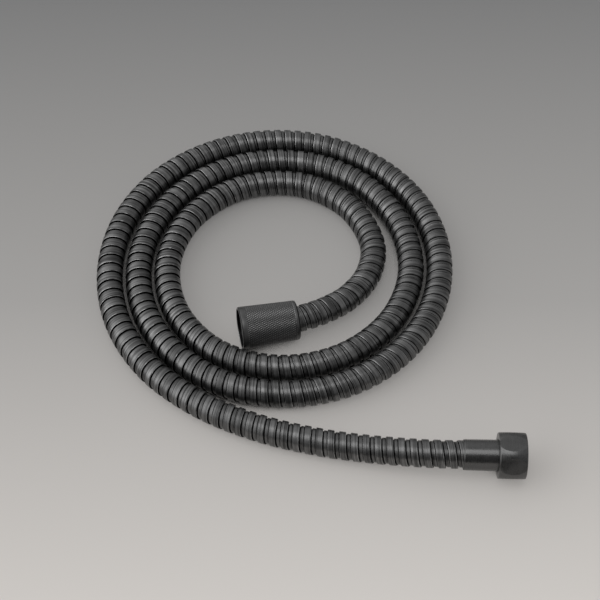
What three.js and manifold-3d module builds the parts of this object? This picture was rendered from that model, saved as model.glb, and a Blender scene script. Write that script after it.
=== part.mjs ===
// Shower hose: an interlocked metal hose lying in a loose spiral, with a hexagonal union nut on a
// plain sleeve at its outer end and a conical knurled union nut at its inner end. Millimetres, +Z up,
// standing surface at z = 0.
import * as THREE from 'three';
import { mergeVertices } from 'three/addons/utils/BufferGeometryUtils.js';
import Module from 'manifold-3d';

// Clearance that neighbouring pieces keep.
const gap = 0.3;

// The hose: a strip-wound metal casing with a rubber tube inside it.
const hoseDiameter = 14;
const casingWall = 1.2;
const tubeWall = 1.6;
const hoseSides = 12;
const hoseSteps = 78;

// The threaded socket that both nuts share: a half-inch pipe thread at the diameter of its crests.
const socketDiameter = 18.6;
const socketChamfer = 0.5;

// The flat washer and the flanged, barbed insert in each nut.
const washerThickness = 2;
const washerBore = 11;
const flangeThickness = 1.8;
const barbDepth = 0.35;
const barbPitch = 2.6;
const insertWall = 0.9;

// The crimped ferrule over the end of the casing.
const ferruleEndWall = 1.2;
const ferruleRootWall = 0.45;
const ferruleMouthWall = 0.25;

// The hexagonal nut: a barrel turned on six flats, lying on one flat.
const hexLength = 13.6;
const hexSocketDepth = 10;
const hexAcrossFlats = 22.5;
const hexBarrelDiameter = 24.2;
const hexEndDiameter = 22.6;
const hexEdgeRound = 0.7;
const hexSleeveLength = 20.4;
const hexBarbLength = 14;

// The conical nut, lying on its slanted side.
const coneLength = 30.4;
const coneSocketDepth = 12;
const coneMouthDiameter = 22.4;
const coneSmallDiameter = 20.7;
const coneMouthChamfer = 0.6;
const coneSmallRound = 1;
const coneLip = 3;
const conePassageRoom = 0.55;
const coneFerruleLength = 9;
const coneBarbLength = 8.5;

// Where the open face of each nut lies in plan, and the compass direction that it faces, in degrees.
const hexFace = { x: 109.2, y: -103.5, heading: -1.6 };
const coneFace = { x: -32.1, y: -26.5, heading: -168.3 };

// How the free hose lies between its two ends, from the hexagonal nut inwards: down from the height
// of the sleeve to the floor, three turns of a loose spiral, and up into the conical nut.
const route = [
  [63.6, -102.0, 11],
  [44.2, -99.4, 9.2],
  [26.1, -96.4, 7.8],
  [7.1, -92.7, 7.2],
  [-22.3, -84.4, 7.04],
  [-52.8, -69.7, 7],
  [-78.8, -48.0, 7],
  [-96.3, -19.1, 7],
  [-102.8, 14.1, 7],
  [-97.8, 47.6, 7],
  [-81.2, 76.9, 7],
  [-54.7, 97.9, 7],
  [-22.4, 107.9, 7],
  [11.3, 105.0, 7],
  [41.2, 89.2, 7],
  [63.1, 63.5, 7],
  [73.5, 31.4, 7],
  [71.2, -2.3, 7],
  [56.3, -32.6, 7],
  [30.6, -54.5, 7],
  [-1.7, -64.2, 7],
  [-35.1, -60.0, 7],
  [-63.4, -42.2, 7],
  [-81.9, -14.0, 7],
  [-87.3, 19.3, 7],
  [-78.7, 51.9, 7],
  [-57.2, 77.9, 7],
  [-26.7, 91.9, 7],
  [6.7, 90.5, 7],
  [35.7, 73.8, 7],
  [54.1, 45.4, 7],
  [58.3, 12.0, 7],
  [46.3, -19.2, 7],
  [20.8, -41.3, 7],
  [-12.0, -48.6, 7],
  [-43.8, -38.4, 7],
  [-65.7, -13.1, 7],
  [-71.9, 20.0, 7],
  [-60.6, 51.7, 7],
  [-34.5, 73.0, 7],
  [-1.3, 76.0, 7],
  [25.6, 59.9, 7.02],
  [38.5, 32.4, 7.08],
  [35.3, 11.4, 7.2],
  [24.6, -3.8, 7.8],
  [14.9, -11.5, 8.9],
  [4.9, -17.0, 9.8],
];

const nutSegments = 48;
const innerSegments = 36;

const wasm = await Module();
wasm.setup();

// Sizes that follow from the values above.
const tubeDiameter = hoseDiameter - 2 * (casingWall + gap);
const tubeBore = tubeDiameter - 2 * tubeWall;
const barbDiameter = tubeBore - 2 * gap;
const waterway = barbDiameter - 2 * (barbDepth + insertWall);
const ferruleBore = hoseDiameter + 2 * gap;
const ferruleRoot = ferruleBore + 2 * ferruleRootWall;
const ferruleMouth = ferruleBore + 2 * ferruleMouthWall;
const lipHole = ferruleRoot + 2 * gap;
const conePassage = ferruleRoot + 2 * conePassageRoom;
const flangeDiameter = socketDiameter - 2 * gap;
const hoseInset = ferruleEndWall + gap;

const metal = (color, roughness) => new THREE.MeshStandardMaterial({ color, roughness, metalness: 0.8 });
const soft = (color) => new THREE.MeshStandardMaterial({ color, roughness: 0.7, metalness: 0 });
const blackSteel = metal(0x333436, 0.42);
const blackNut = metal(0x2e2f31, 0.38);
const brass = metal(0xb08d4a, 0.35);
const blackRubber = soft(0x1c1c1d);
const whiteTube = soft(0xd8d5cc);

// A body of revolution about Y from a closed outline of [radius, distance] pairs.
function turned(outline, segments) {
  const points = [...outline, outline[0]].map(([radius, along]) => new THREE.Vector2(radius, along));
  return new THREE.LatheGeometry(points, segments);
}

// Points of an arc in the outline's plane, both ends included, angles in degrees.
function arc(centreRadius, centreAlong, radius, from, to, steps) {
  return Array.from({ length: steps + 1 }, (_, i) => {
    const angle = THREE.MathUtils.degToRad(from + ((to - from) * i) / steps);
    return [centreRadius + radius * Math.cos(angle), centreAlong + radius * Math.sin(angle)];
  });
}

// The solid that a closed geometry bounds, for cutting and joining.
function solidOf(geometry) {
  const bare = geometry.clone();
  bare.deleteAttribute('normal');
  bare.deleteAttribute('uv');
  const merged = mergeVertices(bare, 1e-4);
  return new wasm.Manifold(
    new wasm.Mesh({
      numProp: 3,
      vertProperties: new Float32Array(merged.attributes.position.array),
      triVerts: new Uint32Array(merged.index.array),
    }),
  );
}

// The geometry of a solid.
function geometryOf(solid) {
  const mesh = solid.getMesh();
  const geometry = new THREE.BufferGeometry();
  geometry.setAttribute('position', new THREE.BufferAttribute(mesh.vertProperties, 3));
  geometry.setIndex(new THREE.BufferAttribute(mesh.triVerts, 1));
  geometry.computeVertexNormals();
  return geometry;
}

function named(name, geometry, material) {
  const mesh = new THREE.Mesh(geometry, material);
  mesh.name = name;
  return mesh;
}

// The lip that a nut turns behind, and its threaded socket out to the mouth.
function lipAndSocket(socketDepth, lipEnd) {
  return [
    [lipHole / 2, lipEnd],
    [lipHole / 2, socketDepth],
    [socketDiameter / 2, socketDepth],
    [socketDiameter / 2, socketChamfer],
    [socketDiameter / 2 + socketChamfer, 0],
  ];
}

// Barrel with rounded ends, bored through, and cut to six flats.
function hexNut() {
  const rise = (hexBarrelDiameter - hexEndDiameter) / 2;
  const half = hexLength / 2;
  const sweep = (half * half + rise * rise) / (2 * rise);
  const reach = THREE.MathUtils.radToDeg(Math.asin((half - hexEdgeRound) / sweep));
  const barrel = arc(hexBarrelDiameter / 2 - sweep, half, sweep, -reach, reach, 10);
  const faceRadius = hexEndDiameter / 2 - hexEdgeRound;
  const outline = [
    [faceRadius, 0],
    ...barrel,
    [faceRadius, hexLength],
    ...lipAndSocket(hexSocketDepth, hexLength),
  ];
  const corner = hexAcrossFlats / 2 / Math.cos(Math.PI / 6);
  const prism = new THREE.CylinderGeometry(corner, corner, hexLength + 2, 6);
  prism.rotateY(Math.PI / 6);
  prism.translate(0, half, 0);
  return geometryOf(solidOf(turned(outline, nutSegments)).intersect(solidOf(prism)));
}

// Cone with a chamfered mouth and a rounded small end.
function coneNut() {
  const mouth = coneMouthDiameter / 2;
  const small = coneSmallDiameter / 2;
  const taper = (mouth - small) / coneLength;
  const outline = [
    [mouth - coneMouthChamfer, 0],
    [mouth - taper * coneMouthChamfer, coneMouthChamfer],
    ...arc(small - coneSmallRound, coneLength - coneSmallRound, coneSmallRound, 0, 90, 4),
    [conePassage / 2, coneLength],
    [conePassage / 2, coneSocketDepth + coneLip],
    ...lipAndSocket(coneSocketDepth, coneSocketDepth + coneLip),
  ];
  return turned(outline, nutSegments);
}

// A cup crimped over the casing, its end wall towards the nut.
function ferrule(length) {
  return turned(
    [
      [ferruleRoot / 2, 0],
      [ferruleMouth / 2, length],
      [ferruleBore / 2, length],
      [ferruleBore / 2, ferruleEndWall],
      [barbDiameter / 2 + gap, ferruleEndWall],
      [barbDiameter / 2 + gap, 0],
    ],
    innerSegments,
  );
}

// Flange, then a barbed tail for the rubber tube, with the waterway through both.
function insert(barbLength) {
  const outline = [
    [waterway / 2, 0],
    [flangeDiameter / 2, 0],
    [flangeDiameter / 2, flangeThickness],
    [barbDiameter / 2, flangeThickness],
  ];
  const tail = flangeThickness + barbLength;
  const first = flangeThickness + gap + ferruleEndWall + gap;
  for (let along = first; along + barbPitch <= tail; along += barbPitch) {
    outline.push([barbDiameter / 2, along]);
    outline.push([barbDiameter / 2 - barbDepth, along + barbPitch]);
  }
  outline.push([barbDiameter / 2 - barbDepth, tail]);
  outline.push([waterway / 2, tail]);
  return turned(outline, innerSegments);
}

function washer() {
  const outer = flangeDiameter / 2;
  return turned(
    [
      [washerBore / 2, 0],
      [outer, 0],
      [outer, washerThickness],
      [washerBore / 2, washerThickness],
    ],
    innerSegments,
  );
}

// An end of the hose: a group whose Y runs from the open face of the nut into the hose, Z upwards.
function endGroup(face, height, rise) {
  const heading = THREE.MathUtils.degToRad(face.heading);
  const outwards = new THREE.Vector3(
    Math.cos(heading) * Math.cos(rise),
    Math.sin(heading) * Math.cos(rise),
    Math.sin(rise),
  );
  const inwards = outwards.clone().negate();
  const side = new THREE.Vector3().crossVectors(inwards, new THREE.Vector3(0, 0, 1)).normalize();
  const up = new THREE.Vector3().crossVectors(side, inwards);
  const group = new THREE.Group();
  group.position.set(face.x, face.y, height);
  group.quaternion.setFromRotationMatrix(new THREE.Matrix4().makeBasis(side, inwards, up));
  group.updateMatrixWorld(true);
  return group;
}

// The pieces inside a nut, each seated on the one behind it.
function dressEnd(group, prefix, socketDepth, ferruleLength, barbLength, ferruleName) {
  const flangeFront = socketDepth - gap - flangeThickness;
  const pieces = [
    [named(`${prefix}_insert`, insert(barbLength), brass), flangeFront],
    [named(`${prefix}_washer`, washer(), blackRubber), flangeFront - gap - washerThickness],
    [named(ferruleName, ferrule(ferruleLength), blackSteel), socketDepth],
  ];
  for (const [mesh, along] of pieces) {
    mesh.position.y = along;
    group.add(mesh);
  }
}

// A point on the axis of an end, at a distance from the open face of its nut.
const onAxis = (group, along) => group.localToWorld(new THREE.Vector3(0, along, 0));

// A pipe along the route: a ring of hoseSides corners, one of them at the bottom.
function pipe(path, outer, bore) {
  const ring = (diameter) =>
    Array.from({ length: hoseSides }, (_, i) => {
      const angle = (i / hoseSides) * 2 * Math.PI;
      return new THREE.Vector2(Math.cos(angle), Math.sin(angle)).multiplyScalar(diameter / 2);
    });
  const section = new THREE.Shape(ring(outer));
  section.holes.push(new THREE.Path(ring(bore)));
  return new THREE.ExtrudeGeometry(section, { steps: hoseSteps, extrudePath: path, bevelEnabled: false });
}

const coneSlant = Math.asin((coneMouthDiameter - coneSmallDiameter) / 2 / coneLength);
const hexEnd = endGroup(hexFace, hexAcrossFlats / 2, 0);
const coneEnd = endGroup(coneFace, (coneMouthDiameter / 2) * Math.cos(coneSlant), coneSlant);

hexEnd.add(named('hex_nut', hexNut(), blackNut));
dressEnd(hexEnd, 'hex_end', hexSocketDepth, hexSleeveLength, hexBarbLength, 'hex_end_sleeve');
coneEnd.add(named('cone_nut', coneNut(), blackNut));
dressEnd(coneEnd, 'cone_end', coneSocketDepth, coneFerruleLength, coneBarbLength, 'cone_end_ferrule');

const hosePath = new THREE.CatmullRomCurve3([
  onAxis(hexEnd, hexSocketDepth + hoseInset),
  onAxis(hexEnd, hexSocketDepth + hexSleeveLength),
  ...route.map(([x, y, z]) => new THREE.Vector3(x, y, z)),
  onAxis(coneEnd, coneSocketDepth + coneFerruleLength + 3),
  onAxis(coneEnd, coneSocketDepth + coneFerruleLength - 3),
  onAxis(coneEnd, coneSocketDepth + hoseInset),
]);

const showerHose = new THREE.Group();
showerHose.add(
  named('hose_casing', pipe(hosePath, hoseDiameter, hoseDiameter - 2 * casingWall), blackSteel),
  named('inner_tube', pipe(hosePath, tubeDiameter, tubeBore), whiteTube),
  hexEnd,
  coneEnd,
);

export default showerHose;
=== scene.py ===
"""Shower hose of interlocked black metal strip, dressed over its solid model.

Metres, +Z up, in the frame of the solid model: the hose lies on the floor in a loose spiral, with
a hexagonal union nut at its outer end and a conical knurled union nut at its inner end.
"""

from __future__ import annotations

import logging
import math
from bisect import bisect_right
from dataclasses import dataclass, field
from enum import Enum
from itertools import accumulate
from typing import Sequence

import bmesh
import bpy
from bmesh.types import BMEdge, BMesh, BMVert
from bpy.types import Material, NodeSocket, Object, World
from mathutils import Matrix, Vector

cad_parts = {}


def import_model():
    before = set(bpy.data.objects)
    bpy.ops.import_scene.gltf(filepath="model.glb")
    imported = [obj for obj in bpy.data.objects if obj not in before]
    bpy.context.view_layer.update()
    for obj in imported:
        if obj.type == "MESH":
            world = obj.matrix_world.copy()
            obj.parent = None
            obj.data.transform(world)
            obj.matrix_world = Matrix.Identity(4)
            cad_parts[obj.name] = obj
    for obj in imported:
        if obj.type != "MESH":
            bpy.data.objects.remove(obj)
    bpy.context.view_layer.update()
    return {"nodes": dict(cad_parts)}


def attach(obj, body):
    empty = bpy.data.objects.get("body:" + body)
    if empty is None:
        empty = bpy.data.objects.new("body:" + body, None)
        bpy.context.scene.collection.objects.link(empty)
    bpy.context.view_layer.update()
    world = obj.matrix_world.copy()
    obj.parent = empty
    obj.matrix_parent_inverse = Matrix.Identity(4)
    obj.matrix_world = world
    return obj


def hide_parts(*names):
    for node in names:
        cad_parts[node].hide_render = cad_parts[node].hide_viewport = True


Pair = tuple[float, float]
Triple = tuple[float, float, float]
Colour = tuple[float, float, float, float]

MM = 0.001
FULL_TURN = 2 * math.pi

# The strip's section, in mm across the strip.
BAND_HALF = 1.75
GAP = 0.65
CREASE = 0.3

# The conical nut, and how deep each nut's socket is, in mm.
CONE_MOUTH = 22.4
CONE_SMALL = 20.7
CONE_LENGTH = 30.4
CONE_SOCKET = 12.0
HEX_SOCKET = 10.0

# The ferrules, and the depths behind a nut's open face at which the hose runs on its axis, in mm.
SLEEVE_LENGTH = 20.4
FERRULE_LENGTH = 9.0
HEX_DEPTHS = (11.5, HEX_SOCKET + SLEEVE_LENGTH)
CONE_DEPTHS = (24.0, 18.0, 13.5)

BRASS = (0.55, 0.36, 0.13, 1.0)

log = logging.getLogger("shower_hose")


# Materials


class Signal:
    """A socket of a shader, on which values add up, scale and compare as numbers do."""

    def __init__(self, board: Board, socket: NodeSocket) -> None:
        """Keep the board and the socket."""
        self.board = board
        self.socket = socket

    def _math(self, operation: str, *values: Signal | float) -> Signal:
        """One Math node of the given operation."""
        return self.board.node("ShaderNodeMath", {"operation": operation}, dict(enumerate(values)))

    def __add__(self, other: Signal | float) -> Signal:
        """Sum."""
        return self._math("ADD", self, other)

    def __radd__(self, other: Signal | float) -> Signal:
        """Sum with a number on the left."""
        return self._math("ADD", other, self)

    def __sub__(self, other: Signal | float) -> Signal:
        """Difference."""
        return self._math("SUBTRACT", self, other)

    def __rsub__(self, other: Signal | float) -> Signal:
        """Difference from a number."""
        return self._math("SUBTRACT", other, self)

    def __mul__(self, other: Signal | float) -> Signal:
        """Product."""
        return self._math("MULTIPLY", self, other)

    def __rmul__(self, other: Signal | float) -> Signal:
        """Product with a number on the left."""
        return self._math("MULTIPLY", other, self)

    def lobe(self, sharpness: float) -> Signal:
        """The value to a power, and 0 below 0."""
        return self._math("POWER", self._math("MAXIMUM", self, 0.0), sharpness)

    def within(self, low: float, high: float) -> Signal:
        """A soft step from 0 at low to 1 at high."""
        eased = {"interpolation_type": "SMOOTHSTEP"}
        return self.board.node("ShaderNodeMapRange", eased, {0: self, 1: low, 2: high, 3: 0.0, 4: 1.0})

    def between(self, low: float, high: float, soft: float) -> Signal:
        """A stripe: 1 between low and high, 0 outside, with soft edges."""
        return self.within(low - soft, low + soft) * (1 - self.within(high - soft, high + soft))

    def share(self, end: float) -> Signal:
        """The share of the way from 0 to an end, and no more than 1."""
        return self.board.node("ShaderNodeMapRange", {}, {0: self, 1: 0.0, 2: end, 3: 0.0, 4: 1.0})


class Board:
    """The node tree of one material or world."""

    def __init__(self, owner: Material | World) -> None:
        """Start with an empty tree."""
        self.owner = owner
        owner.use_nodes = True
        self.tree = owner.node_tree
        self.tree.nodes.clear()

    def node(
        self,
        kind: str,
        settings: dict[str, object] | None = None,
        sockets: dict[int | str, object] | None = None,
        out: int | str = 0,
    ) -> Signal:
        """Add a node.

        Args:
            kind: Blender's name of the node's type.
            settings: Attributes of the node, set before its sockets.
            sockets: Values or links of its inputs, by name or number.
            out: The output that is returned, by name or number.

        Returns:
            The chosen output.
        """
        made = self.tree.nodes.new(kind)
        for key, value in (settings or {}).items():
            setattr(made, key, value)
        for key, value in (sockets or {}).items():
            if isinstance(value, Signal):
                self.tree.links.new(value.socket, made.inputs[key])
            else:
                made.inputs[key].default_value = value
        return Signal(self, made.outputs[out])

    def blend(self, factor: Signal | float, first: object, second: object) -> Signal:
        """The first colour at factor 0, the second at 1, and their mix between."""
        return self.node("ShaderNodeMix", {"data_type": "RGBA"}, {0: factor, 6: first, 7: second}, 2)

    def grain(self, place: Signal, scale: float, detail: float) -> Signal:
        """Noise around 0.5, with a scale in cycles to a unit and a number of finer octaves."""
        return self.node("ShaderNodeTexNoise", {}, {"Vector": place, "Scale": scale, "Detail": detail})

    def bump(self, height: Signal, distance: float, strength: float) -> Signal:
        """A normal tilted by a share of a height, of which 1 stands for a distance in metres."""
        sockets = {"Strength": strength, "Distance": distance, "Height": height}
        return self.node("ShaderNodeBump", {}, sockets)

    def place(self) -> Signal:
        """Coordinates of the object."""
        return self.node("ShaderNodeTexCoord", {}, {}, "Object")

    def facing(self, place: Signal, way: Triple | Vector) -> Signal:
        """How far a place lies a given way, or a direction's cosine with it."""
        unit = tuple(Vector(way).normalized())
        return self.node("ShaderNodeVectorMath", {"operation": "DOT_PRODUCT"}, {0: place, 1: unit}, 1)

    def finish(self, sockets: dict[str, object]) -> Material:
        """Close a material's tree with a Principled shader, and give the material back."""
        self.close("ShaderNodeOutputMaterial", self.node("ShaderNodeBsdfPrincipled", {}, sockets))
        return self.owner

    def close(self, kind: str, shader: Signal) -> None:
        """Link a shader to a new output of the given kind."""
        output = self.tree.nodes.new(kind)
        self.tree.links.new(shader.socket, output.inputs["Surface"])


def grey(level: float, warmth: float = 0.0) -> Colour:
    """A grey of a linear brightness, of which red gains a share and blue loses it."""
    return (level * (1 + warmth), level, level * (1 - warmth), 1.0)


@dataclass(frozen=True)
class StripFinish:
    """Matt black coating of the wound strip, brushed along the strip, with its widths in mm."""

    name: str = "casing_black"
    level: float = 0.132
    shelf_level: float = 0.12
    # Pale band edges: partly real wear, partly a painted glint.
    worn_and_glint_level: float = 0.6
    # Near-black painted shade in the grooves beside each band.
    groove_shade_level: float = 0.008
    band_swing: Pair = (0.32, 1.75)
    shelf_swing: Pair = (0.5, 1.5)
    free_wear_and_glint: Pair = (0.15, 0.55)
    bound_wear_and_glint: float = 0.1
    band_half: float = BAND_HALF
    gap: float = GAP
    crease: float = CREASE
    rub_inset: float = 0.05
    rub_width: float = 0.2
    gap_reach: float = 0.1
    crease_reach: float = 0.02
    soft: float = 0.03
    free_soft: float = 0.04
    bound_soft: float = 0.05
    streak_scale: Triple = (0.8, 0.8, 1.0)
    streak_range: Pair = (0.36, 0.64)
    streak_share: float = 0.6
    hair_scale: Triple = (3.0, 1.3, 1.0)
    hair_range: Pair = (0.3, 0.7)
    rub_scale: float = 260.0
    rub_range: Pair = (0.4, 0.65)
    roughness: float = 0.36
    rough_swing: Pair = (0.16, 0.06)
    relief: float = 0.00006
    relief_share: float = 0.6
    metallic: float = 0.92

    def material(self) -> Material:
        """Streaks, rubbed edges that are partly painted glints, and grooves darkened as painted shade,
        from the strip's own map of mm across and turns along.

        Returns:
            The material.
        """
        board = Board(bpy.data.materials.new(self.name))
        strip = board.node("ShaderNodeUVMap", {"uv_map": "strip"})
        across = board.node("ShaderNodeSeparateXYZ", {}, {0: strip}, "X")
        broad = board.node("ShaderNodeMapping", {}, {0: strip, "Scale": self.streak_scale})
        fine = board.node("ShaderNodeMapping", {}, {0: strip, "Scale": self.hair_scale})
        streak = board.grain(broad, 1.0, 3.0)
        hair = board.grain(fine, 1.0, 1.0)
        rub = board.grain(board.place(), self.rub_scale, 2.0)
        half, soft = self.band_half, self.soft
        rub_from = -half + self.rub_inset
        shelf_from = half + self.crease
        free_edge = across.between(rub_from, rub_from + self.rub_width, self.free_soft)
        bound_edge = across.between(half - self.rub_width, half, self.bound_soft)
        # The gap and crease masks mark the grooves, which are painted dark as shade.
        gap = across.between(-half - self.gap - self.gap_reach, -half + soft, soft)
        crease = across.between(half, shelf_from + self.crease_reach, soft)
        shelf = across.within(shelf_from - self.free_soft, shelf_from + self.free_soft)
        tone = streak.within(*self.streak_range) * self.streak_share
        tone = tone + hair.within(*self.hair_range) * (1 - self.streak_share)
        band = board.blend(tone, *(grey(self.level * share) for share in self.band_swing))
        low = board.blend(tone, *(grey(self.shelf_level * share) for share in self.shelf_swing))
        colour = board.blend(shelf, band, low)
        # Rubbed edges: wear where the rub noise is high, and a painted glint along every edge.
        always, at_most = self.free_wear_and_glint
        wear_and_glint = free_edge * (always + at_most * rub.within(*self.rub_range)) + bound_edge * self.bound_wear_and_glint
        colour = board.blend(wear_and_glint, colour, grey(self.worn_and_glint_level))
        # Painted shade: the grooves turn near black.
        colour = board.blend(gap + crease, colour, grey(self.groove_shade_level))
        rough = self.roughness + (hair - 0.5) * self.rough_swing[0] + (rub - 0.5) * self.rough_swing[1]
        normal = board.bump(streak * 0.2 + hair * 0.8, self.relief, self.relief_share)
        return board.finish(
            {"Base Color": colour, "Metallic": self.metallic, "Roughness": rough, "Normal": normal}
        )


class Lustre(Enum):
    """How far a turned piece is polished: its roughness."""

    SATIN = 0.28
    SILK = 0.36


@dataclass(frozen=True)
class TurnedFinish:
    """Coating on a piece turned on a lathe, with faint rings about the piece's own axis."""

    name: str
    colour: Colour
    frame: NutFrame
    lustre: Lustre = Lustre.SATIN
    metallic: float = 0.9
    # How far the painted shade attribute darkens the colour.
    painted_shade_strength: float = 0.0
    tone_swing: Pair = (0.9, 1.1)
    ring_scale: float = 3200.0
    cloud_scale: float = 420.0
    grain_scale: float = 5200.0
    rough_swing: float = 0.12
    relief: float = 0.00002
    relief_share: float = 0.14

    def material(self) -> Material:
        """Rings along the axis, a fine cast grain, and painted shade and highlights from the piece's own
        attribute where asked.

        Returns:
            The material.
        """
        board = Board(bpy.data.materials.new(self.name))
        place = board.place()
        shifted = board.node(
            "ShaderNodeVectorMath", {"operation": "SUBTRACT"}, {0: place, 1: tuple(self.frame.origin())}
        )
        along = board.facing(shifted, self.frame.outwards())
        rings = board.node(
            "ShaderNodeTexNoise",
            {"noise_dimensions": "1D"},
            {"W": along, "Scale": self.ring_scale, "Detail": 2.0},
        )
        cloud = board.grain(place, self.cloud_scale, 3.0)
        fine = board.grain(place, self.grain_scale, 1.0)
        tone = rings.within(0.3, 0.7) * 0.5 + cloud.within(0.25, 0.75) * 0.5
        low, high = (tuple(v * share for v in self.colour[:3]) + (1.0,) for share in self.tone_swing)
        swing = self.rough_swing
        rough = self.lustre.value + (rings - 0.5) * swing + (cloud - 0.5) * swing
        normal = board.bump(rings * 0.6 + fine * 0.4, self.relief, self.relief_share)
        colour = board.blend(tone, low, high)
        # Painted shade and highlight: the attribute darkens knurl valleys, socket and chamfer, and leaves
        # crests and rim pale.
        if self.painted_shade_strength:
            painted_shade = board.node("ShaderNodeAttribute", {"attribute_name": "painted_shade"}, {}, "Fac")
            colour = board.blend(painted_shade * self.painted_shade_strength, colour, grey(0.0))
        return board.finish(
            {"Base Color": colour, "Metallic": self.metallic, "Roughness": rough, "Normal": normal}
        )


@dataclass(frozen=True)
class MouldedFinish:
    """Rubber or plastic from a mould: soft clouds of colour and a fine pebbled skin."""

    name: str
    level: float
    warmth: float
    roughness: float
    cloud_scale: float = 150.0
    pebble_scale: float = 2600.0
    tone_swing: Pair = (0.85, 1.1)
    rough_swing: float = 0.15
    relief: float = 0.00003
    relief_share: float = 0.4

    def material(self) -> Material:
        """Clouds and pebbles on object coordinates.

        Returns:
            The material.
        """
        board = Board(bpy.data.materials.new(self.name))
        place = board.place()
        cloud = board.grain(place, self.cloud_scale, 3.0)
        pebble = board.grain(place, self.pebble_scale, 2.0)
        low, high = (grey(self.level * share, self.warmth) for share in self.tone_swing)
        colour = board.blend(cloud.within(0.3, 0.7), low, high)
        normal = board.bump(pebble, self.relief, self.relief_share)
        rough = self.roughness + (cloud - 0.5) * self.rough_swing
        return board.finish({"Base Color": colour, "Roughness": rough, "Normal": normal})


@dataclass(frozen=True)
class FloorFinish:
    """Plain studio sweep, paler towards the viewer."""

    name: str = "studio_floor"
    near: float = 0.65
    near_warmth: float = 0.046
    middle: float = 0.398
    middle_warmth: float = 0.026
    far: float = 0.23
    near_y: float = -0.175
    far_y: float = 0.235
    roughness: float = 0.95
    bounce: float = 0.8
    glow: float = 0.42
    # Reach and limits of the painted shade between the turns.
    reach: float = 0.02
    closed_in: float = 0.09
    open_air: float = 0.25

    def material(self) -> Material:
        """A grey that fades along Y, and a plain pale tone in the light that it throws back.

        It glows a little of itself, and is painted dark where it sees little of the room, as between two
        turns of the hose: painted shade.

        Returns:
            The material.
        """
        board = Board(bpy.data.materials.new(self.name))
        place = board.place()
        away = board.node("ShaderNodeSeparateXYZ", {}, {0: place}, "Y")
        colour = board.blend(away.share(self.far_y), grey(self.middle, self.middle_warmth), grey(self.far))
        colour = board.blend(away.share(self.near_y), colour, grey(self.near, self.near_warmth))
        seen = board.node("ShaderNodeLightPath", {}, {}, "Is Camera Ray")
        for ray in ("Is Glossy Ray", "Is Transmission Ray"):
            seen = seen + board.node("ShaderNodeLightPath", {}, {}, ray)
        lit = board.blend(seen, grey(self.bounce), board.blend(self.glow, colour, grey(0.0)))
        # Painted shade: the floor goes black where ambient occlusion finds it closed in.
        room = board.node("ShaderNodeAmbientOcclusion", {"samples": 12}, {"Distance": self.reach}, "AO")
        free_of_painted_shade = room.within(self.closed_in, self.open_air)
        return board.finish(
            {
                "Base Color": board.blend(free_of_painted_shade, grey(0.0), lit),
                "Roughness": self.roughness,
                "Specular IOR Level": 0.0,
                "Emission Color": board.blend(seen * free_of_painted_shade * self.glow, grey(0.0), colour),
                "Emission Strength": 1.0,
            }
        )


# Shapes


def locate(steps: Sequence[float], value: float) -> tuple[int, float]:
    """The place in a rising list before a value, and the share of the way to the next."""
    i = min(max(bisect_right(steps, value) - 1, 0), len(steps) - 2)
    return i, (value - steps[i]) / (steps[i + 1] - steps[i])


def arc(centre: Pair, radius: float, start: float, stop: float, steps: int) -> list[Pair]:
    """Points on an arc of an outline.

    Args:
        centre: Radius and distance along Z of the arc's centre.
        radius: Radius of the arc.
        start: Angle at which it starts, in degrees, 0 outwards and 90 along Z.
        stop: Angle at which it ends.
        steps: Number of chords.

    Returns:
        The points, both ends included.
    """
    points = []
    for i in range(steps + 1):
        angle = math.radians(start + (stop - start) * i / steps)
        points.append((centre[0] + radius * math.cos(angle), centre[1] + radius * math.sin(angle)))
    return points


def chain(bm: BMesh, outline: Sequence[Pair], closed: bool) -> list:
    """Vertices and edges of an outline in the XZ plane.

    Args:
        bm: The bmesh.
        outline: Pairs of radius and distance along Z.
        closed: Whether the last point joins the first.

    Returns:
        The new vertices and edges.
    """
    verts = [bm.verts.new((radius, 0.0, along)) for radius, along in outline]
    pairs = list(zip(verts, verts[1:] + verts[:1]))[: None if closed else -1]
    return verts + [bm.edges.new(pair) for pair in pairs]


def turned(outline: Sequence[Pair], steps: int) -> BMesh:
    """A closed ring-shaped solid turned about Z.

    Args:
        outline: Closed outline as pairs of radius and distance along Z.
        steps: Number of facets around.

    Returns:
        The bmesh.
    """
    bm = bmesh.new()
    bmesh.ops.spin(
        bm,
        geom=chain(bm, outline, True),
        cent=(0, 0, 0),
        axis=(0, 0, 1),
        angle=FULL_TURN,
        steps=steps,
        use_merge=True,
    )
    bmesh.ops.recalc_face_normals(bm, faces=bm.faces)
    return bm


def join(target: BMesh, extra: BMesh) -> None:
    """Add one bmesh to another.

    Args:
        target: The bmesh that grows.
        extra: What it takes in. It is freed.
    """
    mesh = bpy.data.meshes.new("joined")
    extra.to_mesh(mesh)
    extra.free()
    target.from_mesh(mesh)
    bpy.data.meshes.remove(mesh)


def piece(name: str, bm: BMesh, material: Material) -> Object:
    """A finished object at the origin.

    Args:
        name: Name of the piece.
        bm: Its shape, in place. It is freed.
        material: Its finish.

    Returns:
        The object.
    """
    mesh = bpy.data.meshes.new(name)
    bm.to_mesh(mesh)
    bm.free()
    mesh.materials.append(material)
    obj = bpy.data.objects.new(name, mesh)
    bpy.context.scene.collection.objects.link(obj)
    return obj


def smooth(bm: BMesh, limit: float) -> None:
    """Shade smooth, with edges sharper than a limit left crisp.

    Args:
        bm: The bmesh.
        limit: Angle in degrees.
    """
    for face in bm.faces:
        face.smooth = True
    for edge in bm.edges:
        if len(edge.link_faces) == 2:
            edge.smooth = edge.calc_face_angle(0.0) < math.radians(limit)


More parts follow.
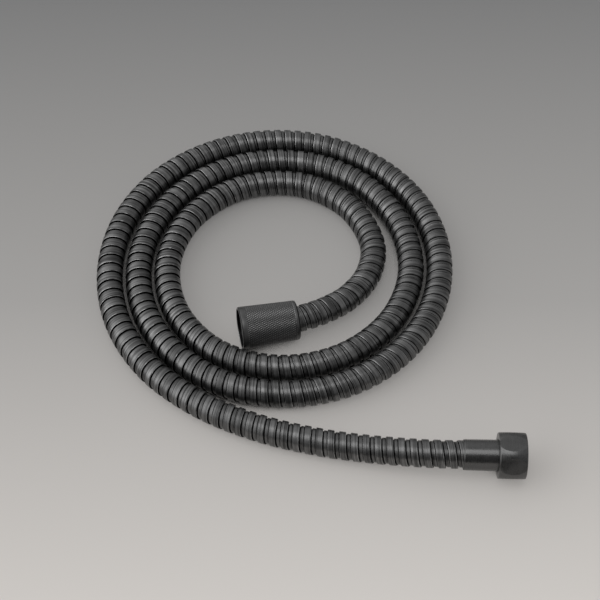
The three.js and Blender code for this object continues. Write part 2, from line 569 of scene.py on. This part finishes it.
@dataclass(frozen=True)
class NutFrame:
    """Where a union nut sits: the centre of its open face, and the way that face looks."""

    face: Pair
    height: float
    heading: float
    rise: float = 0.0

    def outwards(self) -> Vector:
        """The direction that the open face looks."""
        heading, level = math.radians(self.heading), math.cos(self.rise)
        return Vector((math.cos(heading) * level, math.sin(heading) * level, math.sin(self.rise)))

    def origin(self) -> Vector:
        """The centre of the open face."""
        return Vector((self.face[0], self.face[1], self.height)) * MM

    def on_axis(self, depth: float) -> Vector:
        """A point on the axis, at a depth in mm behind the open face."""
        return self.origin() - self.outwards() * depth * MM

    def matrix(self) -> Matrix:
        """From a nut drawn in mm, with its open face at the origin and +Z into the hose, to its place.

        Returns:
            The matrix, with the drawing's +X upwards.
        """
        inwards = -self.outwards()
        side = inwards.cross(Vector((0, 0, 1))).normalized()
        up = side.cross(inwards)
        turn = Matrix((up, side, inwards)).transposed().to_4x4()
        return Matrix.Translation(self.origin()) @ turn @ Matrix.Scale(MM, 4)


CONE_SLANT = math.asin((CONE_MOUTH - CONE_SMALL) / 2 / CONE_LENGTH)
HEX_FRAME = NutFrame((109.2, -103.5), 11.25, -1.6)
CONE_FRAME = NutFrame((-32.1, -26.5), 11.2 * math.cos(CONE_SLANT), -168.3, CONE_SLANT)

# How the free hose lies between its two ends, from the hexagonal nut inwards, in metres.
FREE_ROUTE = (
    (0.0636, -0.1020, 0.0110),
    (0.0442, -0.0994, 0.0092),
    (0.0261, -0.0964, 0.0078),
    (0.0071, -0.0927, 0.0072),
    (-0.0223, -0.0844, 0.00704),
    (-0.0528, -0.0697, 0.007),
    (-0.0788, -0.0480, 0.007),
    (-0.0963, -0.0191, 0.007),
    (-0.1028, 0.0141, 0.007),
    (-0.0978, 0.0476, 0.007),
    (-0.0812, 0.0769, 0.007),
    (-0.0547, 0.0979, 0.007),
    (-0.0224, 0.1079, 0.007),
    (0.0113, 0.1050, 0.007),
    (0.0412, 0.0892, 0.007),
    (0.0631, 0.0635, 0.007),
    (0.0735, 0.0314, 0.007),
    (0.0712, -0.0023, 0.007),
    (0.0563, -0.0326, 0.007),
    (0.0306, -0.0545, 0.007),
    (-0.0017, -0.0642, 0.007),
    (-0.0351, -0.0600, 0.007),
    (-0.0634, -0.0422, 0.007),
    (-0.0819, -0.0140, 0.007),
    (-0.0873, 0.0193, 0.007),
    (-0.0787, 0.0519, 0.007),
    (-0.0572, 0.0779, 0.007),
    (-0.0267, 0.0919, 0.007),
    (0.0067, 0.0905, 0.007),
    (0.0357, 0.0738, 0.007),
    (0.0541, 0.0454, 0.007),
    (0.0583, 0.0120, 0.007),
    (0.0463, -0.0192, 0.007),
    (0.0208, -0.0413, 0.007),
    (-0.0120, -0.0486, 0.007),
    (-0.0438, -0.0384, 0.007),
    (-0.0657, -0.0131, 0.007),
    (-0.0719, 0.0200, 0.007),
    (-0.0606, 0.0517, 0.007),
    (-0.0345, 0.0730, 0.007),
    (-0.0013, 0.0760, 0.007),
    (0.0256, 0.0599, 0.00702),
    (0.0385, 0.0324, 0.00708),
    (0.0353, 0.0114, 0.0072),
    (0.0246, -0.0038, 0.0078),
    (0.0149, -0.0115, 0.0089),
    (0.0049, -0.0170, 0.0098),
)


class Centreline:
    """The hose's centreline: a smooth curve through its route, with a level cross-section frame."""

    per_span = 48
    reach = 24

    def __init__(self, points: Sequence[Vector]) -> None:
        """Sample the curve.

        Args:
            points: Route points in metres.
        """
        self.points = self._curve(points)
        steps = [(b - a).length for a, b in zip(self.points, self.points[1:])]
        self.travel = list(accumulate(steps, initial=0.0))
        self.length = self.travel[-1]
        self.tangents = self._tangents()
        self.curvature = self._curvature()

    def _curve(self, points: Sequence[Vector]) -> list[Vector]:
        """A centripetal curve through the points, its ends carried on straight.

        Args:
            points: Points to pass through.

        Returns:
            The samples.
        """
        ends = [2 * points[0] - points[1], *points, 2 * points[-1] - points[-2]]
        line = []
        for p0, p1, p2, p3 in zip(ends, ends[1:], ends[2:], ends[3:]):
            d0, d1, d2 = (math.sqrt((b - a).length) for a, b in ((p0, p1), (p1, p2), (p2, p3)))
            t1 = ((p1 - p0) / d0 - (p2 - p0) / (d0 + d1) + (p2 - p1) / d1) * d1
            t2 = ((p2 - p1) / d1 - (p3 - p1) / (d1 + d2) + (p3 - p2) / d2) * d1
            for i in range(self.per_span):
                t = i / self.per_span
                square = (3 * p2 - 3 * p1 - 2 * t1 - t2) * t**2
                cube = (2 * p1 - 2 * p2 + t1 + t2) * t**3
                line.append(p1 + t1 * t + square + cube)
        return [*line, points[-1].copy()]

    def _tangents(self) -> list[Vector]:
        """Unit tangents at the samples."""
        last = len(self.points) - 1
        return [
            (self.points[min(i + 1, last)] - self.points[max(i - 1, 0)]).normalized()
            for i in range(last + 1)
        ]

    def _curvature(self) -> list[float]:
        """Turning in plan per metre, positive to the left, smoothed over the reach to each side.

        Returns:
            One value for each sample.
        """
        headings = [math.atan2(t.y, t.x) for t in self.tangents]
        last = len(headings) - 1
        bends = []
        for i in range(last + 1):
            a, b = max(i - self.reach, 0), min(i + self.reach, last)
            turn = (headings[b] - headings[a] + math.pi) % FULL_TURN - math.pi
            bends.append(turn / (self.travel[b] - self.travel[a]))
        return bends

    def bend_at(self, distance: float) -> float:
        """Turning per metre at a distance from the start."""
        i, share = locate(self.travel, distance)
        share = min(max(share, 0.0), 1.0)
        return self.curvature[i] * (1 - share) + self.curvature[i + 1] * share

    def place(self, distance: float, left: float, up: float) -> Vector:
        """A point beside the centreline.

        Args:
            distance: Distance along the hose.
            left: Offset to the level left of the way it runs.
            up: Offset upwards, square to both.

        Returns:
            The point.
        """
        i, share = locate(self.travel, distance)
        centre = self.points[i].lerp(self.points[i + 1], share)
        along = self.tangents[i].lerp(self.tangents[i + 1], min(max(share, 0.0), 1.0)).normalized()
        across = Vector((0, 0, 1)).cross(along).normalized()
        return centre + across * left + along.cross(across) * up


# Sub-assemblies


@dataclass
class HoseCasing:
    """The wound casing. In each turn a raised band ends in a crease, from which a lower shelf runs on
    until it slips under the free edge of the next band."""

    line: Centreline
    radius: float = 7.0
    pitch: float = 5.6
    tail_pitch: float = 5.9
    tail_end: float = 0.30
    tail_blend: float = 0.12
    band_half: float = BAND_HALF
    gap: float = GAP
    gap_depth: float = 1.2
    crease: float = CREASE
    crease_depth: float = 1.05
    shelf_drop: float = 0.68
    edge_round: float = 0.28
    wall_lean: float = 0.05
    facets: int = 32
    bore: float = 5.6
    weld: float = 0.02
    spare: int = 2
    crisp: float = 20.0
    turns_at: list[float] = field(default_factory=list)

    def outline(self) -> list[Pair]:
        """One turn of the strip.

        Returns:
            Pairs of radius and place along the hose, in mm.
        """
        top, half, soft = self.radius, self.band_half, self.edge_round
        shelf = top - self.shelf_drop
        shelf_from = half + self.crease
        shelf_to = self.pitch - half - self.gap
        return [
            (top - self.gap_depth, -half),
            (top - soft, -half),
            (top - soft * 0.3, -half + soft * 0.3),
            (top, -half + soft),
            (top, half - soft),
            (top - soft, half),
            (top - self.crease_depth, half + self.wall_lean),
            (shelf, shelf_from),
            (shelf - self.wall_lean, shelf_to),
            (top - self.gap_depth, shelf_to + self.wall_lean),
            (top - self.gap_depth, self.pitch - half),
        ]

    def count_turns(self) -> float:
        """Number the turns along the hose, each a pitch long.

        Returns:
            The number of turns on the whole hose.
        """
        self.turns_at = [0.0]
        for a, b in zip(self.line.travel, self.line.travel[1:]):
            share = min(max(((a + b) / 2 - self.tail_end) / self.tail_blend + 0.5, 0.0), 1.0)
            pitch = self.tail_pitch + (self.pitch - self.tail_pitch) * share
            self.turns_at.append(self.turns_at[-1] + (b - a) / (pitch * MM))
        return self.turns_at[-1]

    def distance_of(self, turn: float) -> float:
        """Distance along the hose at which a turn, whole or part, lies."""
        i, share = locate(self.turns_at, turn)
        return self.line.travel[i] + share * (self.line.travel[i + 1] - self.line.travel[i])

    def strip_place(self, along: float, angle: float) -> tuple[int, float]:
        """Where a point of the straight casing lies on the strip.

        Args:
            along: Distance along the casing in mm.
            angle: Angle about its axis, in turns.

        Returns:
            The number of the turn, and the distance in mm across the strip from the band's middle.
        """
        low = -self.band_half - self.gap
        turn = math.floor(along / self.pitch - angle - low / self.pitch + 1e-6)
        return turn, along - (turn + angle) * self.pitch

    def straight(self, turns: float) -> BMesh:
        """The casing drawn straight along Z, in mm, with its bore, cut square at both ends.

        Args:
            turns: Number of turns.

        Returns:
            The bmesh.
        """
        bm = bmesh.new()
        for outline in (self.outline(), [(self.bore, 0.0), (self.bore, self.pitch)]):
            bmesh.ops.spin(
                bm,
                geom=chain(bm, outline, False),
                cent=(0, 0, 0),
                axis=(0, 0, 1),
                dvec=(0, 0, self.pitch / self.facets),
                angle=FULL_TURN,
                steps=self.facets,
            )
        bmesh.ops.translate(bm, verts=bm.verts, vec=(0, 0, -self.spare * self.pitch))
        have, end = 1, (turns + self.spare) * self.pitch
        while have < turns + 2 * self.spare:
            copy = bmesh.ops.duplicate(bm, geom=[*bm.verts, *bm.edges, *bm.faces])
            moved = [g for g in copy["geom"] if isinstance(g, BMVert)]
            bmesh.ops.translate(bm, verts=moved, vec=(0, 0, self.pitch * have))
            have *= 2
            past = [f for f in bm.faces if f.calc_center_median().z > end]
            bmesh.ops.delete(bm, geom=past, context="FACES")
        bmesh.ops.remove_doubles(bm, verts=bm.verts, dist=self.weld)
        for height, looks in ((0.0, -1.0), (turns * self.pitch, 1.0)):
            bmesh.ops.bisect_plane(
                bm,
                geom=[*bm.verts, *bm.edges, *bm.faces],
                dist=1e-4,
                plane_co=(0, 0, height),
                plane_no=(0, 0, looks),
                clear_outer=True,
            )
            rims = [e for e in bm.edges if e.is_boundary]
            rims = [e for e in rims if all(abs(v.co.z - height) < 1e-3 for v in e.verts)]
            bmesh.ops.triangle_fill(bm, use_beauty=True, edges=rims, normal=(0, 0, looks))
        bmesh.ops.recalc_face_normals(bm, faces=bm.faces)
        return bm

    def map_strip(self, bm: BMesh) -> None:
        """Lay a map over the strip: mm across it from the band's middle, and turns along it.

        Args:
            bm: The straight casing.
        """
        strip = bm.loops.layers.uv.new("strip")
        for face in bm.faces:
            middle = face.calc_center_median()
            around = math.atan2(middle.y, middle.x) / FULL_TURN
            turn, _ = self.strip_place(middle.z, around)
            for loop in face.loops:
                co = loop.vert.co
                angle = math.atan2(co.y, co.x) / FULL_TURN
                angle += round(around - angle)
                loop[strip].uv = (co.z - (turn + angle) * self.pitch, turn + angle)

    def bend(self, bm: BMesh) -> None:
        """Lay the straight casing along the route.

        A raised band keeps its true width round a bend, and the shelf between two bands gives way.

        Args:
            bm: The straight casing. Its vertices are moved.
        """
        low = -self.band_half - self.gap
        high = self.band_half + self.crease
        for vert in bm.verts:
            co = vert.co
            angle = math.atan2(co.y, co.x)
            whole, offset = self.strip_place(co.z, angle / FULL_TURN)
            turn = whole + angle / FULL_TURN
            stretch = (self.distance_of(turn + 0.5) - self.distance_of(turn - 0.5)) / (self.pitch * MM)
            bend = self.line.bend_at(self.distance_of(turn))
            give = stretch * (1 - bend * self.radius * MM * math.cos(angle))
            if offset > high:
                rest = (offset - high) / (self.pitch + low - high)
                offset = high / give + rest * (self.pitch + (low - high) / give)
            else:
                offset /= give
            distance = self.distance_of(turn + offset / self.pitch)
            vert.co = self.line.place(distance, co.x * MM, co.y * MM)

    def build(self, material: Material) -> Object:
        """Make the casing and log it.

        Args:
            material: Its finish.

        Returns:
            The casing.
        """
        bm = self.straight(self.count_turns())
        self.map_strip(bm)
        self.bend(bm)
        smooth(bm, self.crisp)
        casing = piece("wound_casing", bm, material)
        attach(casing, "hose")
        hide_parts("hose_casing")
        log.info("wound casing: %.1f turns, %d faces", self.turns_at[-1], len(casing.data.polygons))
        return casing


@dataclass
class InnerTube:
    """The plastic tube that carries the water inside the casing."""

    line: Centreline
    outer: float = 5.4
    bore: float = 3.9
    step: float = 5.0
    facets: int = 24
    crisp: float = 50.0

    def build(self, material: Material) -> Object:
        """Make the tube and log it.

        Args:
            material: Its finish.

        Returns:
            The tube.
        """
        rings = math.ceil(self.line.length / MM / self.step)
        along = [self.line.length / MM * i / rings for i in range(rings + 1)]
        outline = [(self.outer, z) for z in along] + [(self.bore, z) for z in reversed(along)]
        bm = turned(outline, self.facets)
        for vert in bm.verts:
            vert.co = self.line.place(vert.co.z * MM, vert.co.x * MM, vert.co.y * MM)
        smooth(bm, self.crisp)
        tube = piece("water_tube", bm, material)
        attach(tube, "hose")
        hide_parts("inner_tube")
        log.info("water tube: %d faces", len(tube.data.polygons))
        return tube


@dataclass(frozen=True)
class Thread:
    """A female pipe thread: a helical ridge inside a socket, from its start to its end in depth."""

    crest: float = 9.3
    root: float = 10.2
    lead: float = 1.814
    flank: float = 0.46
    crest_half: float = 0.16
    crest_round: float = 0.1
    start: float = 1.3
    end: float = 5.0
    facets: int = 36

    def ridge(self) -> BMesh:
        """The ridge, closed at its ends.

        Returns:
            The bmesh, drawn about Z.
        """
        bm = bmesh.new()
        half = self.lead * self.flank
        shoulder = self.crest + self.crest_round
        outline = [
            (self.root, self.start - half),
            (shoulder, self.start - self.crest_half),
            (self.crest, self.start),
            (shoulder, self.start + self.crest_half),
            (self.root, self.start + half),
        ]
        turns = (self.end - self.start) / self.lead
        geometry = chain(bm, outline, True)
        first = [g for g in geometry if isinstance(g, BMEdge)]
        swept = bmesh.ops.spin(
            bm,
            geom=geometry,
            cent=(0, 0, 0),
            axis=(0, 0, 1),
            dvec=(0, 0, self.lead / self.facets),
            angle=FULL_TURN * turns,
            steps=max(round(self.facets * turns), 1),
        )
        last = [g for g in swept["geom_last"] if isinstance(g, BMEdge)]
        bmesh.ops.contextual_create(bm, geom=first)
        bmesh.ops.contextual_create(bm, geom=last)
        bmesh.ops.recalc_face_normals(bm, faces=bm.faces)
        return bm


@dataclass
class HexNut:
    """The hexagonal union nut: a barrel turned on six flats, with its thread."""

    frame: NutFrame
    length: float = 13.6
    socket_depth: float = HEX_SOCKET
    across_flats: float = 22.5
    barrel: float = 24.2
    end: float = 22.6
    edge_round: float = 0.7
    lip_hole: float = 16.1
    lip_chamfer: float = 0.3
    mouth_relief: Pair = (0.25, 0.35)
    facets: int = 96
    crisp: float = 11.0
    thread: Thread = Thread()

    def outline(self) -> list[Pair]:
        """Half section of the nut.

        Returns:
            Pairs of radius and depth behind the open face, in mm.
        """
        rise = (self.barrel - self.end) / 2
        half = self.length / 2
        soft = self.edge_round
        sweep = (half * half + rise * rise) / (2 * rise)
        reach = math.degrees(math.asin((half - soft) / sweep))
        side = arc((self.barrel / 2 - sweep, half), sweep, -reach, reach, 14)
        corner = side[0][0] - soft
        return [
            *arc((corner, soft), soft, -90, 0, 9)[:-1],
            *side,
            *arc((corner, self.length - soft), soft, 0, 90, 9)[1:],
            (self.lip_hole / 2 + self.lip_chamfer, self.length),
            (self.lip_hole / 2, self.length - self.lip_chamfer),
            (self.lip_hole / 2, self.socket_depth),
            (self.thread.root, self.socket_depth),
            (self.thread.root, self.mouth_relief[1]),
            (self.thread.root + self.mouth_relief[0], 0.0),
        ]

    def cut_flats(self, bm: BMesh) -> None:
        """Cut the six flats.

        Args:
            bm: The turned barrel.
        """
        flat = self.across_flats / 2
        for i in range(6):
            angle = i * FULL_TURN / 6
            looks = Vector((math.cos(angle), math.sin(angle), 0.0))
            cut = bmesh.ops.bisect_plane(
                bm,
                geom=[*bm.verts, *bm.edges, *bm.faces],
                dist=1e-5,
                plane_co=looks * flat,
                plane_no=looks,
                clear_outer=True,
            )
            rim = [g for g in cut["geom_cut"] if isinstance(g, BMEdge)]
            bmesh.ops.contextual_create(bm, geom=rim)
        bmesh.ops.recalc_face_normals(bm, faces=bm.faces)

    def build(self, material: Material) -> Object:
        """Make the nut and log it.

        Args:
            material: Its finish.

        Returns:
            The nut.
        """
        bm = turned(self.outline(), self.facets)
        self.cut_flats(bm)
        join(bm, self.thread.ridge())
        smooth(bm, self.crisp)
        bmesh.ops.transform(bm, matrix=self.frame.matrix(), verts=bm.verts)
        nut = piece("hexagonal_nut", bm, material)
        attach(nut, "hex_nut")
        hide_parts("hex_nut")
        log.info("hexagonal nut: %d faces", len(nut.data.polygons))
        return nut


@dataclass
class ConeNut:
    """The conical union nut, with a fine diamond knurl between two plain bands."""

    frame: NutFrame
    length: float = CONE_LENGTH
    mouth: float = CONE_MOUTH
    small: float = CONE_SMALL
    chamfer: float = 0.6
    small_round: float = 1.0
    socket_depth: float = CONE_SOCKET
    lip: float = 3.0
    lip_hole: float = 16.1
    passage: float = 16.6
    passage_chamfer: float = 0.4
    mouth_relief: Pair = (0.2, 0.3)
    knurl_from: float = 3.2
    knurl_to: float = 28.4
    knurl_rows: int = 26
    knurl_around: int = 120
    knurl_depth: float = 0.15
    knurl_border: Pair = (0.3, 0.25)
    plain_shade: float = 0.66
    thread_shade: float = 0.3
    slack: float = 0.05
    crisp: float = 16.0
    thread: Thread = Thread(end=7.0)

    def radius_at(self, along: float) -> float:
        """Radius of the plain cone at a distance from the open face, in mm."""
        return self.mouth / 2 - (self.mouth - self.small) / 2 * along / self.length

    def knurl_step(self) -> float:
        """Distance between two rows of the knurl's grid."""
        return (self.knurl_to - self.knurl_from) / self.knurl_rows

    def outline(self) -> list[Pair]:
        """Half section of the nut.

        Returns:
            Pairs of radius and depth behind the open face, in mm.
        """
        knurl = [self.knurl_from + i * self.knurl_step() for i in range(self.knurl_rows + 1)]
        soft = self.small_round
        shoulder = self.length - soft
        centre = self.radius_at(self.length) - soft
        before = self.knurl_from - self.knurl_border[0]
        after = self.knurl_to + self.knurl_border[1]
        return [
            (self.mouth / 2 - self.chamfer, 0.0),
            (self.radius_at(0.0) - self.chamfer * 0.3, self.chamfer * 0.45),
            (self.radius_at(self.chamfer * 1.3), self.chamfer * 1.3),
            (self.radius_at(before), before),
            *((self.radius_at(t), t) for t in knurl),
            (self.radius_at(after), after),
            *arc((centre, shoulder), soft, 0, 90, 8),
            (self.passage / 2 + self.passage_chamfer, self.length),
            (self.passage / 2, self.length - self.passage_chamfer),
            (self.passage / 2, self.socket_depth + self.lip),
            (self.lip_hole / 2, self.socket_depth + self.lip),
            (self.lip_hole / 2, self.socket_depth),
            (self.thread.root, self.socket_depth),
            (self.thread.root, self.mouth_relief[1]),
            (self.thread.root + self.mouth_relief[0], 0.0),
        ]

    def knurl(self, bm: BMesh) -> None:
        """Press diamonds into the cone: every other grid point sinks, and the sunk points join. Each point
        also gets painted shade: full at sunk points, none at crests, which stay pale as painted
        highlights, and some on the plain bands.

        Args:
            bm: The turned nut.
        """
        # The attribute holds painted shade: sunk points dark, crests pale as painted highlights, plain
        # bands between.
        painted_shade = bm.verts.layers.float.new("painted_shade")
        sunk = []
        for vert in bm.verts:
            radius = math.hypot(vert.co.x, vert.co.y)
            row = (vert.co.z - self.knurl_from) / self.knurl_step()
            plain = abs(radius - self.radius_at(vert.co.z)) > self.slack
            if plain or not -0.1 < row < self.knurl_rows + 0.1:
                vert[painted_shade] = self.plain_shade
                continue
            column = round(math.atan2(vert.co.y, vert.co.x) / FULL_TURN * self.knurl_around)
            if (round(row) + column) % 2:
                vert.co.xy *= (radius - self.knurl_depth) / radius
                vert[painted_shade] = 1.0
                sunk.append(vert)
        bmesh.ops.connect_verts(bm, verts=sunk)

    def shade_mouth(self, bm: BMesh) -> None:
        """Paint shade into the socket and onto the chamfer, and leave the rim and the thread's crests
        paler as painted highlights.

        Args:
            bm: The nut with its thread.
        """
        painted_shade = bm.verts.layers.float["painted_shade"]
        for vert in bm.verts:
            radius = math.hypot(vert.co.x, vert.co.y)
            if radius < self.thread.root + 0.1:
                crest = abs(radius - self.thread.crest) < self.thread.crest_round + self.slack
                vert[painted_shade] = self.thread_shade if crest else 1.0
            elif vert.co.z < self.chamfer:
                vert[painted_shade] = 0.0 if vert.co.z < self.slack else 1.0

    def build(self, material: Material) -> Object:
        """Make the nut and log it.

        Args:
            material: Its finish.

        Returns:
            The nut.
        """
        bm = turned(self.outline(), self.knurl_around)
        self.knurl(bm)
        join(bm, self.thread.ridge())
        self.shade_mouth(bm)
        smooth(bm, self.crisp)
        bmesh.ops.transform(bm, matrix=self.frame.matrix(), verts=bm.verts)
        nut = piece("conical_nut", bm, material)
        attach(nut, "cone_nut")
        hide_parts("cone_nut")
        log.info("conical nut: %d faces", len(nut.data.polygons))
        return nut


@dataclass
class Sleeve:
    """A ferrule crimped over the casing, with its closed end inside the nut."""

    frame: NutFrame
    name: str
    node: str
    start: float
    length: float
    root: float = 15.5
    mouth: float = 15.1
    bore: float = 14.6
    hole: float = 7.8
    end_wall: float = 1.2
    root_chamfer: float = 0.3
    crimp: float = 2.2
    lip: float = 0.35
    facets: int = 64
    crisp: float = 40.0

    def outline(self) -> list[Pair]:
        """Half section of the sleeve, its closed end at its start.

        Returns:
            Pairs of radius and depth behind its nut's open face, in mm.
        """
        far = self.start + self.length
        lip = self.lip
        return [
            (self.hole / 2, self.start),
            (self.root / 2 - self.root_chamfer, self.start),
            (self.root / 2, self.start + self.root_chamfer),
            (self.mouth / 2 + 0.03, far - self.crimp),
            (self.mouth / 2, far - lip * 1.6),
            (self.mouth / 2 - lip * 0.12, far - lip * 0.7),
            (self.mouth / 2 - lip * 0.45, far - lip * 0.12),
            (self.bore / 2 + 0.04, far),
            (self.bore / 2, far - 0.1),
            (self.bore / 2, self.start + self.end_wall),
            (self.hole / 2, self.start + self.end_wall),
        ]

    def build(self, material: Material) -> Object:
        """Make the sleeve and log it.

        Args:
            material: Its finish.

        Returns:
            The sleeve.
        """
        bm = turned(self.outline(), self.facets)
        smooth(bm, self.crisp)
        bmesh.ops.transform(bm, matrix=self.frame.matrix(), verts=bm.verts)
        sleeve = piece(self.name, bm, material)
        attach(sleeve, "hose")
        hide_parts(self.node)
        log.info("%s: %d faces", self.name.replace("_", " "), len(sleeve.data.polygons))
        return sleeve


# Studio


@dataclass(frozen=True)
class Softbox:
    """A large even lamp."""

    name: str
    place: Triple
    aim: Triple
    size: Pair
    power: float

    def hang(self) -> None:
        """Hang the lamp and turn it to its aim."""
        data = bpy.data.lights.new(self.name, "AREA")
        data.shape = "RECTANGLE"
        data.size, data.size_y = self.size
        data.energy = self.power
        lamp = bpy.data.objects.new(self.name, data)
        lamp.location = self.place
        way = Vector(self.aim) - Vector(self.place)
        lamp.rotation_euler = way.to_track_quat("-Z", "Y").to_euler()
        bpy.context.scene.collection.objects.link(lamp)


@dataclass(frozen=True)
class WallGlow:
    """A soft patch of light on a wall: the way to it, how narrow and how bright it is."""

    way: Triple
    sharpness: float
    strength: float


@dataclass(frozen=True)
class Studio:
    """Camera, floor, world and lamp."""

    aim: Triple = (-0.0009, 0.0004, 0.0)
    elevation: float = 53.0
    distance: float = 0.8235
    lens: float = 92.454
    sensor: float = 36.0
    floor_half: float = 3.0
    room: float = 0.015
    # From the left, from the corner behind it, from behind and from the right.
    walls: tuple[WallGlow, ...] = (
        WallGlow((-0.87, -0.18, 0.5), 7.0, 2.2),
        WallGlow((-0.66, 0.52, 0.54), 4.0, 0.66),
        WallGlow((-0.2, 0.72, 0.6), 1.8, 0.46),
        WallGlow((0.85, -0.25, 0.42), 3.5, 0.5),
    )
    lamp: Softbox = Softbox("overhead", (-0.06, -0.52, 2.9), (0.0, 0.0, 0.0), (1.35, 1.75), 15.0)

    def place_camera(self) -> None:
        """Put the camera where the photographer's stood."""
        tilt = math.radians(self.elevation)
        data = bpy.data.cameras.new("camera")
        data.sensor_width = self.sensor
        data.sensor_fit = "HORIZONTAL"
        data.lens = self.lens
        data.clip_start = 0.01
        camera = bpy.data.objects.new("camera", data)
        back = Vector((0.0, -math.cos(tilt), math.sin(tilt))) * self.distance
        camera.location = Vector(self.aim) + back
        camera.rotation_euler = (math.pi / 2 - tilt, 0.0, 0.0)
        bpy.context.scene.collection.objects.link(camera)
        bpy.context.scene.camera = camera

    def light(self) -> None:
        """Light the room softly from its walls, and hang the lamp."""
        board = Board(bpy.data.worlds.new("studio"))
        way = board.node("ShaderNodeTexCoord", {}, {}, "Generated")
        level = self.room
        for glow in self.walls:
            level = level + glow.strength * board.facing(way, glow.way).lobe(glow.sharpness)
        colour = board.node("ShaderNodeCombineColor", {}, {0: level, 1: level, 2: level})
        board.close("ShaderNodeOutputWorld", board.node("ShaderNodeBackground", {}, {"Color": colour}))
        bpy.context.scene.world = board.owner
        self.lamp.hang()

    def lay_floor(self) -> None:
        """Lay the floor under the hose."""
        bm = bmesh.new()
        bmesh.ops.create_grid(bm, x_segments=1, y_segments=1, size=self.floor_half)
        floor = piece("floor", bm, FloorFinish().material())

    def open(self) -> None:
        """Set up everything but the camera."""
        self.light()
        self.lay_floor()
        bpy.context.scene.view_settings.view_transform = "Standard"


def dress_node(obj: Object, material: Material) -> None:
    """Give a node of the solid model its finish.

    Args:
        obj: The node's object.
        material: The finish.
    """
    obj.data.materials.clear()
    obj.data.materials.append(material)
    log.info("%s: dressed", obj.name)


def main() -> None:
    """Build the hose and its studio."""
    logging.basicConfig(level=logging.INFO, format="%(message)s")
    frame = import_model()
    studio = Studio()
    studio.place_camera()

    route = [HEX_FRAME.on_axis(depth) for depth in HEX_DEPTHS]
    route += [Vector(point) for point in FREE_ROUTE]
    route += [CONE_FRAME.on_axis(depth) for depth in CONE_DEPTHS]
    line = Centreline(route)
    casing = HoseCasing(line).build(StripFinish().material())

    hex_black = TurnedFinish("hex_nut_black", grey(0.115), HEX_FRAME)
    HexNut(HEX_FRAME).build(hex_black.material())
    # Knurl crests keep this paler grey as painted highlights; the painted shade attribute darkens the
    # rest.
    cone_black = TurnedFinish("cone_nut_black", grey(0.33), CONE_FRAME, Lustre.SILK, painted_shade_strength=0.95)
    cone_nut = ConeNut(CONE_FRAME).build(cone_black.material())
    sleeve_look = TurnedFinish("sleeve_black", grey(0.112), HEX_FRAME).material()
    Sleeve(HEX_FRAME, "plain_sleeve", "hex_end_sleeve", HEX_SOCKET, SLEEVE_LENGTH).build(sleeve_look)
    ferrule = Sleeve(CONE_FRAME, "inner_ferrule", "cone_end_ferrule", CONE_SOCKET, FERRULE_LENGTH)
    ferrule = ferrule.build(sleeve_look)

    rubber = MouldedFinish("washer_rubber", level=0.022, warmth=0.0, roughness=0.6).material()
    plastic = MouldedFinish("tube_plastic", level=0.6, warmth=0.03, roughness=0.5).material()
    InnerTube(line).build(plastic)
    for end, nut_frame in (("hex_end", HEX_FRAME), ("cone_end", CONE_FRAME)):
        brass = TurnedFinish(f"{end}_brass", BRASS, nut_frame, metallic=1.0)
        dress_node(frame["nodes"][f"{end}_insert"], brass.material())
        dress_node(frame["nodes"][f"{end}_washer"], rubber)

    [tuple(point) for point in line.points[::6]] + [tuple(line.points[-1])]
    studio.open()


if __name__ == "__main__":
    main()
